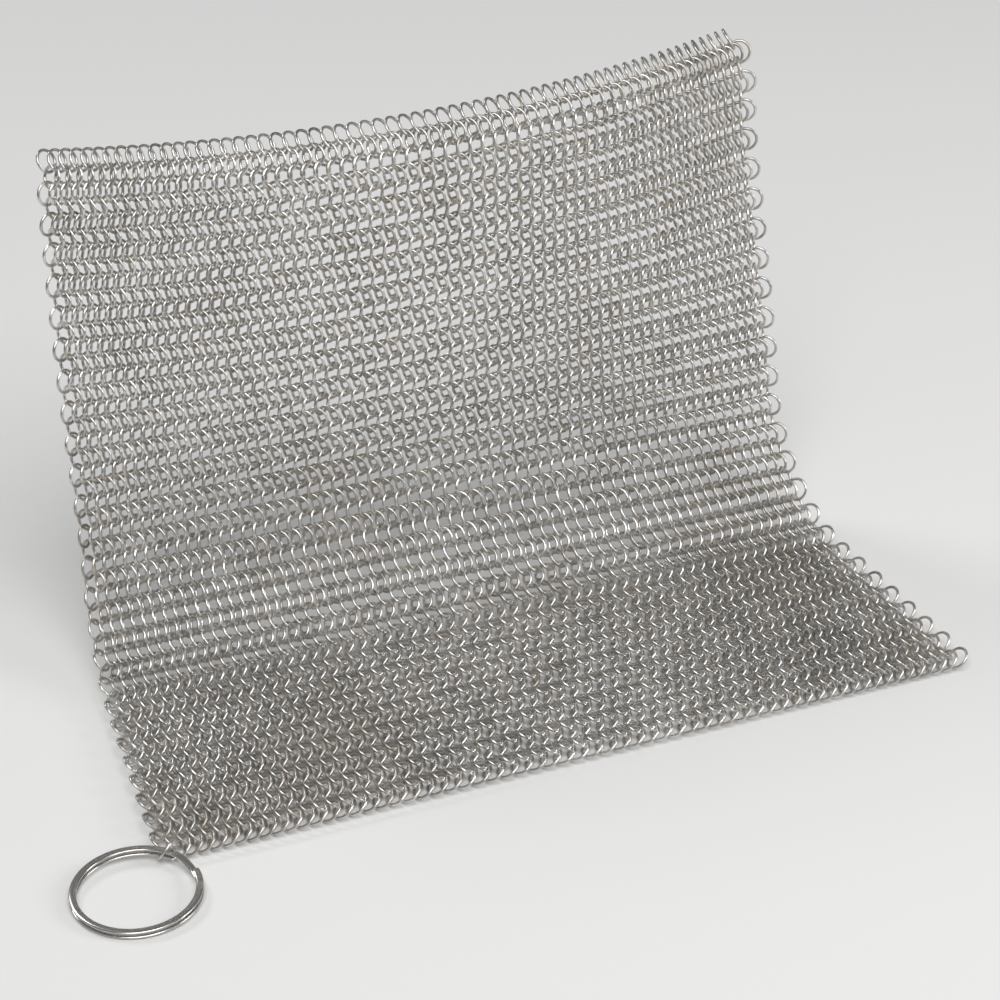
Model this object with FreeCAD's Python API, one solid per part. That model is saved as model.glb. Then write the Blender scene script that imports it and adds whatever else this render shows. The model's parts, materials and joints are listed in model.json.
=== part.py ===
import FreeCAD, Part
import math
import os

Vector = FreeCAD.Vector

# A pot scrubber of ring mail hung over the rim of a pan, with a split ring through one corner.
# Lengths are in millimetres and angles in degrees. Z is up, X runs along the rows to the right
# of somebody looking at the hanging front, Y runs away from them. The origin is the axis of the
# rim that the mail is folded over, halfway along the fold.

# The mail. Every ring is round wire welded shut, and passes through four others. There are
# thousands of them, so the round of the wire is drawn with a few flats.
ring_outside = 4.0
ring_wire = 0.4
wire_flats = 8
rows = 52
columns = 63
row_pitch = ring_outside * 0.64
rim_pitch = ring_outside * 0.485
hem_pitch = ring_outside * 0.535
spread_rows = 26
middle_spread = 0.11
plane_gap = ring_outside * 0.312

# The drape, from the fold over the rim down the hanging front to the hem that lies flat.
fold_rows = 3
fold_radius = ring_outside * 2.25
drop_lean = 90.0
drop_rows = 20.0
bend_rows = 14.0
full_bow_row = 4
last_bowed_row = 28
bow_ease = 0.25
rim_bow_radius = 168.0

# The corner ring stands up around the split ring, shifted from its woven place in the hem.
corner_shift = Vector(-0.454, 0.093, 0.265)
corner_normal = Vector(-0.649, 0.530, 0.5455)

# The split ring is two flat turns of one flat wire with a step from one level to the other.
# It lies beside the corner, its wire through the corner ring, and leans on the far side.
split_outside = 20.0
split_wire_width = 1.15
split_wire_thickness = 0.43
split_turn_gap = 0.42
split_edge_radius = 0.1
split_step_angle = 30.0
split_step_sections = 7
split_step_at = 35.0
split_away = 225.2
split_beyond = 0.943
split_rise = -0.324
split_lean = 3.06

ring_radius = (ring_outside - ring_wire) / 2
half_columns = (columns - 1) / 2
middle_column = (columns + 1) / 2


def mean_pitch(row):
    """Mean distance between neighbouring rings of a row, wider towards the hem."""
    drawn = min(max((rows - row) / spread_rows, 0.0), 1.0)
    return hem_pitch + (rim_pitch - hem_pitch) * drawn


def along_row(row, column):
    """Distance of a ring from the middle of its row."""
    place = column - middle_column
    wave = math.sin(math.pi * place / half_columns) * half_columns / math.pi
    return mean_pitch(row) * (place + middle_spread * wave)


def local_pitch(row, column):
    """Distance between neighbouring rings at one place in a row."""
    place = column - middle_column
    return mean_pitch(row) * (1.0 + middle_spread * math.cos(math.pi * place / half_columns))


def down_sheet(row):
    """Distance of a row from the first row, measured down the sheet."""
    return (row - 1) * row_pitch


def drape(distance):
    """Y and Z of the middle line of the sheet at a distance from the first row."""
    lean = math.radians(drop_lean)
    fold_length = fold_rows * row_pitch
    turned = lean - (fold_length - min(distance, fold_length)) / fold_radius
    y = -fold_radius * math.sin(turned)
    z = fold_radius * math.cos(turned)
    drop_length = drop_rows * row_pitch
    dropped = min(max(distance - fold_length, 0.0), drop_length)
    y -= dropped * math.cos(lean)
    z -= dropped * math.sin(lean)
    bend_length = bend_rows * row_pitch
    bend_radius = bend_length / lean
    bent = min(max(distance - fold_length - drop_length, 0.0), bend_length)
    slope = lean - bent / bend_radius
    y -= bend_radius * (math.sin(lean) - math.sin(slope))
    z -= bend_radius * (math.cos(slope) - math.cos(lean))
    y -= max(distance - fold_length - drop_length - bend_length, 0.0)
    return y, z


def bow_left(row):
    """Share of the rim's bow that a row still has, all of it at the fold and none at the bend."""
    gone = min(max((row - full_bow_row) / (last_bowed_row - full_bow_row), 0.0), 1.0)
    steepest = 1.0 / (1.0 - bow_ease)
    if gone < bow_ease:
        return 1.0 - steepest * gone ** 2 / (2 * bow_ease)
    if gone > 1.0 - bow_ease:
        return steepest * (1.0 - gone) ** 2 / (2 * bow_ease)
    return 1.0 - steepest * (gone - bow_ease / 2)


def sheet_point(row, column):
    """Point of the middle face of the sheet, with whole numbers at the places in the weave."""
    distance = down_sheet(row)
    y, z = drape(distance)
    x = along_row(row, column)
    bowed = bow_left(row)
    if bowed > 0.0:
        turn_radius = rim_bow_radius / bowed - y
        turned = x / (rim_bow_radius / bowed + fold_radius)
        x = turn_radius * math.sin(turned)
        y += turn_radius * (1.0 - math.cos(turned))
    return Vector(x, y, z)


def ring_seat(row, column):
    """Centre and normal of a ring. Odd rows lean one way, even rows the other."""
    side = -1 if row % 2 else 1
    place = column + side * 0.25
    along = sheet_point(row, place + 0.5) - sheet_point(row, place - 0.5)
    down = sheet_point(row + 0.5, place) - sheet_point(row - 0.5, place)
    outward = along.cross(down).normalize() * -1
    along = down.cross(outward).normalize() * -1
    tilt = math.asin(plane_gap / local_pitch(row, place))
    normal = outward * math.cos(tilt) - along * (side * math.sin(tilt))
    return sheet_point(row, place), normal


def plain_ring():
    """One welded ring about the Z axis, its flats as large in section as the round wire."""
    step = 2 * math.pi / wire_flats
    reach = ring_wire / 2 * math.sqrt(step / math.sin(step))
    corners = []
    for i in range(wire_flats + 1):
        angle = (i + 0.5) * step
        corners.append(Vector(ring_radius + reach * math.cos(angle), 0, reach * math.sin(angle)))
    section = Part.Face(Part.makePolygon(corners))
    return section.revolve(Vector(0, 0, 0), Vector(0, 0, 1), 360)


def ring(centre, normal):
    """One ring of the mail in its place."""
    placed = first_ring.copy()
    placed.Placement = FreeCAD.Placement(centre, FreeCAD.Rotation(Vector(0, 0, 1), normal))
    return placed


def mail_row(row):
    """One row of the mail. The hem leaves its first place to the corner ring."""
    first = 2 if row == rows else 1
    return Part.makeCompound([ring(*ring_seat(row, column)) for column in range(first, columns + 1)])


def corner_ring():
    """The ring at the corner of the hem, stood up around the split ring."""
    woven, woven_normal = ring_seat(rows, 1)
    return ring(woven + corner_shift, corner_normal)


def split_seat():
    """Middle and normal of the split ring."""
    woven, woven_normal = ring_seat(rows, 1)
    away = Vector(math.cos(math.radians(split_away)), math.sin(math.radians(split_away)), 0)
    reach = (split_outside - split_wire_width) / 2 + split_beyond
    centre = woven + away * reach + Vector(0, 0, split_rise)
    normal = Vector(0, 0, 1) + away * math.tan(math.radians(split_lean))
    return centre, normal.normalize()


def split_section(turned, level):
    """Outline of the flat wire, its edges rounded, turned about the axis at a level."""
    inner = split_outside / 2 - split_wire_width
    outer = split_outside / 2
    low = level
    high = level + split_wire_thickness
    box = [Vector(inner, 0, low), Vector(outer, 0, low), Vector(outer, 0, high), Vector(inner, 0, high)]
    edges = []
    for i in range(4):
        here = box[i]
        before = (box[i - 1] - here).normalize() * split_edge_radius
        after = (box[(i + 1) % 4] - here).normalize() * split_edge_radius
        middle = here + (before + after) * (1.0 - math.sqrt(0.5))
        next_corner = box[(i + 1) % 4]
        next_start = next_corner + (here - next_corner).normalize() * split_edge_radius
        edges.append(Part.Arc(here + before, middle, here + after).toShape())
        edges.append(Part.makeLine(here + after, next_start))
    outline = Part.Wire(edges)
    outline.rotate(Vector(0, 0, 0), Vector(0, 0, 1), turned)
    return outline


def split_levels():
    """Heights of the undersides of the two turns."""
    apart = split_wire_thickness + split_turn_gap
    return -split_wire_thickness / 2 - apart / 2, -split_wire_thickness / 2 + apart / 2


def split_path(turned):
    """Level of the wire after turning by an angle from the start of the first turn."""
    low, high = split_levels()
    climbed = min(max((turned - 360.0 + split_step_angle) / split_step_angle, 0.0), 1.0)
    return low + (high - low) * (1.0 - math.cos(math.pi * climbed)) / 2


def split_ring():
    """Two turns of flat wire and the step between them, one unbroken piece."""
    axis = Vector(0, 0, 1)
    flat_turn = 360.0 - split_step_angle
    low, high = split_levels()
    turns = []
    for level in (low, high):
        turns.append(Part.Face(split_section(0.0, level)).revolve(Vector(0, 0, 0), axis, flat_turn))
    sections = []
    for i in range(split_step_sections):
        turned = flat_turn + split_step_angle * i / (split_step_sections - 1)
        sections.append(split_section(turned, split_path(turned)))
    step = Part.makeLoft(sections, True)
    wire = turns[0].fuse([step, turns[1]]).removeSplitter().Solids[0]
    wire.rotate(Vector(0, 0, 0), axis, split_step_at)
    centre, normal = split_seat()
    seat = FreeCAD.Placement(centre, FreeCAD.Rotation(axis, normal))
    wire.Placement = seat.multiply(wire.Placement)
    return wire


def least_turn_gap():
    """Least distance between the two turns of the split ring, measured on points of its outline."""
    points = []
    for turned in range(0, 721 - int(split_step_angle), 3):
        radius = split_outside / 2 - split_wire_width / 2
        for side in (0.0, split_wire_thickness):
            level = split_path(turned) + side
            angle = math.radians(turned)
            points.append((turned, Vector(radius * math.cos(angle), radius * math.sin(angle), level)))
    gaps = []
    for turned, point in points:
        for other_turned, other in points:
            if other_turned - turned > 180:
                gaps.append((other - point).Length)
    return min(gaps)


first_ring = plain_ring()
os.makedirs("parts", exist_ok=True)
for row in range(1, rows + 1):
    mail_row(row).exportStep("parts/mail_row_%02d.step" % row)
corner_ring().exportStep("parts/corner_ring.step")
split_ring().exportStep("parts/split_ring.step")
print("least gap between the turns of the split ring", round(least_turn_gap(), 3), "mm")
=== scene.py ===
import bpy
import json
import math
import numpy as np
from mathutils import Matrix, Vector


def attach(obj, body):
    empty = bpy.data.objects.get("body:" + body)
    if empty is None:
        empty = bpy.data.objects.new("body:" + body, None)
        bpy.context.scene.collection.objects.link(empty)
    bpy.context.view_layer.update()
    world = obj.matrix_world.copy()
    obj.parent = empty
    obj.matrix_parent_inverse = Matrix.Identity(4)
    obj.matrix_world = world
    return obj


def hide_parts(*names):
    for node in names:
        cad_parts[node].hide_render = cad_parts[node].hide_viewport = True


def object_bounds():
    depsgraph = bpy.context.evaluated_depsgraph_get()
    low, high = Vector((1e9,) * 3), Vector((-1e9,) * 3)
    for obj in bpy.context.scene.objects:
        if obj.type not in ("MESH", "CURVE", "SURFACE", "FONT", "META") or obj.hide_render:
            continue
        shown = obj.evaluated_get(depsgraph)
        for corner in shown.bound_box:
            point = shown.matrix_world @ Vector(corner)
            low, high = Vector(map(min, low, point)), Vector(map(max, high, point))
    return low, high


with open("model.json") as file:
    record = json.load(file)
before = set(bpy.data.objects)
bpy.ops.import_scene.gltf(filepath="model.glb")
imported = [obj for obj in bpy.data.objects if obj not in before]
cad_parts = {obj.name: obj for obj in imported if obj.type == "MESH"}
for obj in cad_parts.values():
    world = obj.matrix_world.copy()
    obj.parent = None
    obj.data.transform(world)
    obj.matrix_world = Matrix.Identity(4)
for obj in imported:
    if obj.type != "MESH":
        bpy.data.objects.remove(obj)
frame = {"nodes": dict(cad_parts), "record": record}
cad_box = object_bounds()


# The rows of the mail. Each row is a line of rings of round stainless wire, butt welded shut and
# tumbled until they shine. Every ring passes through two rings of the row above it and two of
# the row below. The split ring has rubbed the rings at its corner a little slimmer.
row_count = 52
rings_in_row = 63
ring_radius = 0.0018
close_to_x = 0.7
wire_radius = 0.00024
wire_sides = 8
corner_rub = 0.16
rub_reach = 0.006
weld_swelling = 0.05
weld_length = math.radians(7)
heat_length = math.radians(26)
weld_degrees = [0, 4, 8, 13, 20]
plain_degrees = np.linspace(20, 340, 20)[1:-1]
around_ring = np.radians(weld_degrees + list(plain_degrees) + [360 - d for d in weld_degrees[:0:-1]])
steel_dark = (0.46, 0.45, 0.43, 1)
steel_bright = (0.82, 0.805, 0.78, 1)
straw_tint = (0.42, 0.31, 0.17, 1)
pan_film = (0.36, 0.31, 0.25, 1)
tone_evenness = 2.2
film_scale = 26.0
tumbled_scale = 5200.0
drawn_stretch = (30.0, 4000.0, 1.0)
drawn_depth = 0.00001
strip_margin = 0.08
mix_factor, mix_first, mix_second, mix_result = 0, 6, 7, 2
chance = np.random.default_rng(52)


class Socket:
    """One output among a material's nodes. Arithmetic on it adds the nodes that work it out."""

    def __init__(self, tree, socket=None):
        self.tree = tree
        self.socket = socket

    def node(self, kind, settings, sockets, output=0):
        """Adds a node: its settings are set first, then the values or links of its sockets."""
        made = self.tree.nodes.new(kind)
        for name, value in settings.items():
            setattr(made, name, value)
        for name, value in sockets.items():
            if isinstance(value, Socket):
                self.tree.links.new(value.socket, made.inputs[name])
            else:
                made.inputs[name].default_value = value
        return Socket(self.tree, made.outputs[output])

    def __add__(self, other):
        return self.node("ShaderNodeMath", {"operation": "ADD"}, {0: self, 1: other})

    def __mul__(self, other):
        return self.node("ShaderNodeMath", {"operation": "MULTIPLY"}, {0: self, 1: other})

    __radd__ = __add__
    __rmul__ = __mul__

    def between(self, low, high):
        """0 below the low value, 1 above the high one, and a straight slope between them."""
        return self.node("ShaderNodeMapRange", {}, {"Value": self, "From Min": low, "From Max": high})

    def blend(self, first, second):
        """The first colour where this is 0, the second where it is 1."""
        settings = {"data_type": "RGBA"}
        sockets = {mix_factor: self, mix_first: first, mix_second: second}
        return self.node("ShaderNodeMix", settings, sockets, mix_result)


def plain_finish(name):
    """A new material with one shader, and the start of its nodes."""
    finish = bpy.data.materials.new(name)
    finish.use_nodes = True
    return finish, finish.node_tree.nodes["Principled BSDF"], Socket(finish.node_tree)


def mail_wire_finish():
    """Tumbled stainless wire: each ring a little lighter or darker, straw coloured at its weld."""
    finish, shader, start = plain_finish("tumbled mail wire")
    place = start.node("ShaderNodeTexCoord", {}, {}, "Object")
    along_wire = start.node("ShaderNodeTexCoord", {}, {}, "UV")
    heat = start.node("ShaderNodeAttribute", {"attribute_name": "weld_heat"}, {}, "Fac")
    tone = start.node("ShaderNodeAttribute", {"attribute_name": "ring_tone"}, {}, "Fac")
    film = start.node("ShaderNodeTexNoise", {}, {"Vector": place, "Scale": film_scale, "Detail": 3.0})
    tumbled = start.node("ShaderNodeTexNoise", {}, {"Vector": place, "Scale": tumbled_scale, "Detail": 2.0})
    stretch = start.node("ShaderNodeVectorMath", {"operation": "MULTIPLY"},
                         {0: along_wire, 1: drawn_stretch})
    drawn = start.node("ShaderNodeTexNoise", {}, {"Vector": stretch, "Scale": 1.0, "Detail": 2.0})
    steel = tone.blend(steel_dark, steel_bright)
    filmed = (film.between(0.45, 0.75) * 0.35).blend(steel, pan_film)
    tinted = (heat * (0.15 + 0.3 * tumbled)).blend(filmed, straw_tint)
    dulled = 0.20 + 0.14 * tumbled.between(0.35, 0.7) + 0.10 * film.between(0.45, 0.75) + 0.12 * heat
    lines = start.node("ShaderNodeBump", {}, {"Strength": 0.25, "Distance": drawn_depth, "Height": drawn})
    finish.node_tree.links.new(tinted.socket, shader.inputs["Base Color"])
    finish.node_tree.links.new(dulled.socket, shader.inputs["Roughness"])
    finish.node_tree.links.new(lines.socket, shader.inputs["Normal"])
    shader.inputs["Metallic"].default_value = 1.0
    return finish


def ring_seats(node, count):
    """Centres and normals of the rings in a node, read from its solids."""
    solid = frame["nodes"][node].data
    places = np.empty(len(solid.vertices) * 3)
    solid.vertices.foreach_get("co", places)
    centres, normals = [], []
    for points in places.reshape(count, -1, 3):
        # A point that several faces share is stored for each of them, and counts once.
        points = np.unique(points.round(8), axis=0)
        centre = points.mean(axis=0)
        spread = np.linalg.eigh((points - centre).T @ (points - centre))
        centres.append(centre)
        normals.append(spread.eigenvectors[:, 0])
    return np.array(centres), np.array(normals)


def welded_rings(name, centres, normals):
    """Smooth rings at these seats, each with its own place for the weld, slim near the corner."""
    count, steps = len(centres), len(around_ring)
    # The circle starts square to X, or to Y for a ring whose normal is close to X.
    helper = np.where(np.abs(normals[:, :1]) < close_to_x, [[1.0, 0, 0]], [[0, 1.0, 0]])
    across = np.cross(normals, helper)
    across /= np.linalg.norm(across, axis=1, keepdims=True)
    beside = np.cross(normals, across)
    weld_at = chance.uniform(0, 2 * math.pi, (count, 1))
    from_weld = np.minimum(around_ring, 2 * math.pi - around_ring)
    rubbed = corner_rub * np.exp(-(np.linalg.norm(centres - corner_place, axis=1) / rub_reach) ** 2)
    swelling = 1 + weld_swelling * np.exp(-(from_weld / weld_length) ** 2)
    wire = wire_radius * (1 - rubbed)[:, None] * swelling
    angle = (weld_at + around_ring)[..., None]
    outward = across[:, None] * np.cos(angle) + beside[:, None] * np.sin(angle)
    side = 2 * math.pi * np.arange(wire_sides) / wire_sides
    reach = ring_radius + wire[..., None] * np.cos(side)
    rise = wire[..., None] * np.sin(side)
    points = (centres[:, None, None] + outward[:, :, None] * reach[..., None]
              + normals[:, None, None] * rise[..., None])
    step = np.arange(steps)[:, None]
    turn = np.arange(wire_sides)[None, :]
    corners = [(step, turn), (step + 1, turn), (step + 1, turn + 1), (step, turn + 1)]
    one_face = [(s % steps) * wire_sides + t % wire_sides for s, t in corners]
    one_ring = np.stack(one_face, -1).reshape(-1, 4)
    faces = (np.arange(count)[:, None, None] * steps * wire_sides + one_ring).reshape(-1, 4)
    mesh = bpy.data.meshes.new(name)
    mesh.from_pydata(points.reshape(-1, 3).tolist(), [], faces.tolist(), shade_flat=False)
    every_face = np.zeros((steps, wire_sides))
    along = np.stack([every_face + s / steps for s, t in corners], -1).ravel()
    round_wire = np.stack([every_face + t / wire_sides for s, t in corners], -1).ravel()
    strip = (np.arange(count)[:, None] + strip_margin + (1 - 2 * strip_margin) * round_wire) / count
    chart = np.stack(np.broadcast_arrays(along, strip), -1)
    mesh.uv_layers.new(name="OFBake").uv.foreach_set("vector", chart.astype(np.float32).ravel())
    heat = np.exp(-(from_weld / heat_length) ** 2)[None, :, None]
    tone = chance.beta(tone_evenness, tone_evenness, (count, 1, 1))
    for label, shares in (("weld_heat", heat), ("ring_tone", tone)):
        at_points = np.broadcast_to(shares, points.shape[:3]).astype(np.float32)
        mesh.attributes.new(label, "FLOAT", "POINT").data.foreach_set("value", at_points.ravel())
    rings = bpy.data.objects.new(name, mesh)
    bpy.context.scene.collection.objects.link(rings)
    return rings


body_of_node = {}
for body, nodes in frame["record"]["behaviour"]["bodies"].items():
    body_of_node.update(dict.fromkeys(nodes, body))
mail_wire = mail_wire_finish()
corner_place = ring_seats("corner_ring", 1)[0][0]
for row in range(1, row_count + 1):
    node = "mail_row_%02d" % row
    in_this_row = rings_in_row - 1 if row == row_count else rings_in_row
    rings = welded_rings("welded_row_%02d" % row, *ring_seats(node, in_this_row))
    rings.data.materials.append(mail_wire)
    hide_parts(node)
    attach(rings, body_of_node[node])


# The corner ring. It is one more ring of the hem, at its left end, stood on edge by the split
# ring that passes through it, and of the same welded wire as the others.
corner = welded_rings("welded_corner_ring", *ring_seats("corner_ring", 1))
corner.data.materials.append(mail_wire)
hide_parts("corner_ring")
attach(corner, body_of_node["corner_ring"])


# The split ring. Two turns of crowned spring wire wound on edge, hardened, barrel polished and
# plated, so that its faces shine and its edges are soft. It is wound into the corner ring like a
# key, one unbroken wire that steps from the lower turn to the upper one.
eye = next(mount for mount in frame["record"]["mounts"] if mount["name"] == "hanging_eye")
eye_radius = eye["dims"]["r_mm"] / 1000
stack_height = eye["dims"]["length_mm"] / 1000
split_outside = 0.020
split_width = split_outside / 2 - eye_radius
split_thickness = 0.00043
first_end = math.radians(35)
step_turn = math.radians(30)
whole_turn = 4 * math.pi - step_turn
end_bevel = 0.01
end_fullness = 0.8
crown = 0.75
split_steps = 240
split_sides = 24
plate_bright = (0.66, 0.645, 0.62, 1)
plate_worn = (0.40, 0.385, 0.36, 1)
worn_scale = 320.0
rub_scale = 4200.0
scratch_depth = 0.00002


def crowned_split_wire(name):
    """One wire swept through both turns, its section a crowned flat, its ends softened."""
    between_ends = np.linspace(end_bevel, whole_turn - end_bevel, split_steps)
    turned = np.concatenate(([0], between_ends, [whole_turn]))
    climbed = np.clip((turned - 2 * math.pi + step_turn) / step_turn, 0, 1)
    level = -(stack_height - split_thickness) * np.cos(math.pi * climbed) / 2
    fullness = np.ones((len(turned), 1))
    fullness[[0, -1]] = end_fullness
    side = 2 * math.pi * np.arange(split_sides) / split_sides
    across = np.sign(np.cos(side)) * np.abs(np.cos(side)) ** crown * split_width / 2
    rise = np.sign(np.sin(side)) * np.abs(np.sin(side)) ** crown * split_thickness / 2
    radius = (split_outside - split_width) / 2 + fullness * across
    angle = (turned + first_end)[:, None]
    height = level[:, None] + fullness * rise
    points = np.stack([radius * np.cos(angle), radius * np.sin(angle), height], -1)
    first_end_face = list(range(split_sides))
    last_end_face = [len(turned) * split_sides - 1 - corner for corner in first_end_face]
    faces = [first_end_face, last_end_face]
    for step in range(len(turned) - 1):
        for turn in range(split_sides):
            here, there = step * split_sides, (step + 1) * split_sides
            after = (turn + 1) % split_sides
            faces.append((here + turn, there + turn, there + after, here + after))
    mesh = bpy.data.meshes.new(name)
    mesh.from_pydata(points.reshape(-1, 3).tolist(), [], faces, shade_flat=False)
    leaned = Vector((0, 0, 1)).rotation_difference(Vector(eye["axis"])).to_matrix().to_4x4()
    mesh.transform(Matrix.Translation(eye["pos_m"]) @ leaned)
    wire = bpy.data.objects.new(name, mesh)
    bpy.context.scene.collection.objects.link(wire)
    return wire


def split_ring_finish():
    """Plated spring wire, polished in the barrel, with fine rubs where keys and hooks touch it."""
    finish, shader, start = plain_finish("polished split ring wire")
    place = start.node("ShaderNodeTexCoord", {}, {}, "Object")
    worn = start.node("ShaderNodeTexNoise", {}, {"Vector": place, "Scale": worn_scale, "Detail": 4.0})
    rubs = start.node("ShaderNodeTexNoise", {}, {"Vector": place, "Scale": rub_scale, "Detail": 3.0})
    plate = (worn.between(0.45, 0.8) * 0.5).blend(plate_bright, plate_worn)
    dulled = 0.13 + 0.12 * worn.between(0.4, 0.75) + 0.08 * rubs.between(0.4, 0.7)
    scratches = start.node("ShaderNodeBump", {},
                           {"Strength": 0.12, "Distance": scratch_depth, "Height": rubs})
    finish.node_tree.links.new(plate.socket, shader.inputs["Base Color"])
    finish.node_tree.links.new(dulled.socket, shader.inputs["Roughness"])
    finish.node_tree.links.new(scratches.socket, shader.inputs["Normal"])
    shader.inputs["Metallic"].default_value = 1.0
    return finish


split_ring = crowned_split_wire("wound_split_ring")
split_ring.data.materials.append(split_ring_finish())
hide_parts("split_ring")
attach(split_ring, "split_ring")


# The floor that the hem lies on: a wide sheet of pale board, matt and plain.
floor_half = 2.0
floor_colour = (0.78, 0.78, 0.77, 1)
floor_roughness = 0.7
floor_gap = 0.00005
floor_level = cad_box[0].z - floor_gap
floor_corners = [(-1, -1), (1, -1), (1, 1), (-1, 1)]
board = bpy.data.meshes.new("pale floor")
board_points = [(x * floor_half, y * floor_half, floor_level) for x, y in floor_corners]
board.from_pydata(board_points, [], [(0, 1, 2, 3)])
floor = bpy.data.objects.new("pale floor", board)
bpy.context.scene.collection.objects.link(floor)
floor_finish, floor_shader = plain_finish("pale board")[:2]
floor_shader.inputs["Base Color"].default_value = floor_colour
floor_shader.inputs["Roughness"].default_value = floor_roughness
board.materials.append(floor_finish)


# The studio: a broad soft lamp high in front, a weaker one low at the right, a narrow one behind
# for the edges of the wire, and a dim grey surround.
lamp_target = Vector((0.0, -0.03, -0.04))
surround_grey = (0.20, 0.20, 0.205, 1)
lamps = [
    ("front soft box", (-0.12, -0.50, 0.80), 0.70, 7.0),
    ("right soft box", (0.65, -0.40, 0.30), 0.35, 2.4),
    ("back strip", (-0.30, 0.55, 0.60), 0.25, 1.6),
]
for lamp_name, lamp_place, lamp_size, lamp_power in lamps:
    lamp_data = bpy.data.lights.new(lamp_name, "AREA")
    lamp_data.shape = "SQUARE"
    lamp_data.size = lamp_size
    lamp_data.energy = lamp_power
    lamp = bpy.data.objects.new(lamp_name, lamp_data)
    lamp.location = lamp_place
    lamp.rotation_euler = (lamp_target - Vector(lamp_place)).to_track_quat("-Z", "Y").to_euler()
    bpy.context.scene.collection.objects.link(lamp)
surround = bpy.data.worlds.new("grey surround")
surround.use_nodes = True
surround.node_tree.nodes["Background"].inputs["Color"].default_value = surround_grey
surround.node_tree.nodes["Background"].inputs["Strength"].default_value = 1.0
bpy.context.scene.world = surround
bpy.context.scene.view_settings.view_transform = "Standard"


# The camera stands in front of the hem, a little to the left, and looks down on the drape.
camera_place = Vector((-0.17201, -0.48370, 0.24730))
camera_pitch, camera_yaw, camera_roll = 0.5489, 0.3677, -0.0173
photo_pixels = 1000
focal_pixels = 3545.0
sensor_millimetres = 36
nearest_seen, furthest_seen = 0.01, 20
forward = Vector((math.sin(camera_yaw) * math.cos(camera_pitch),
                  math.cos(camera_yaw) * math.cos(camera_pitch), -math.sin(camera_pitch)))
level_right = Vector((math.cos(camera_yaw), -math.sin(camera_yaw), 0))
level_up = level_right.cross(forward)
right = level_right * math.cos(camera_roll) + level_up * math.sin(camera_roll)
up = level_up * math.cos(camera_roll) - level_right * math.sin(camera_roll)
camera_data = bpy.data.cameras.new("photo camera")
camera_data.sensor_width = sensor_millimetres
camera_data.lens = focal_pixels * sensor_millimetres / photo_pixels
camera_data.clip_start = nearest_seen
camera_data.clip_end = furthest_seen
camera = bpy.data.objects.new("photo camera", camera_data)
turned = Matrix((right, up, -forward)).transposed().to_4x4()
camera.matrix_world = Matrix.Translation(camera_place) @ turned
bpy.context.scene.collection.objects.link(camera)
bpy.context.scene.camera = camera
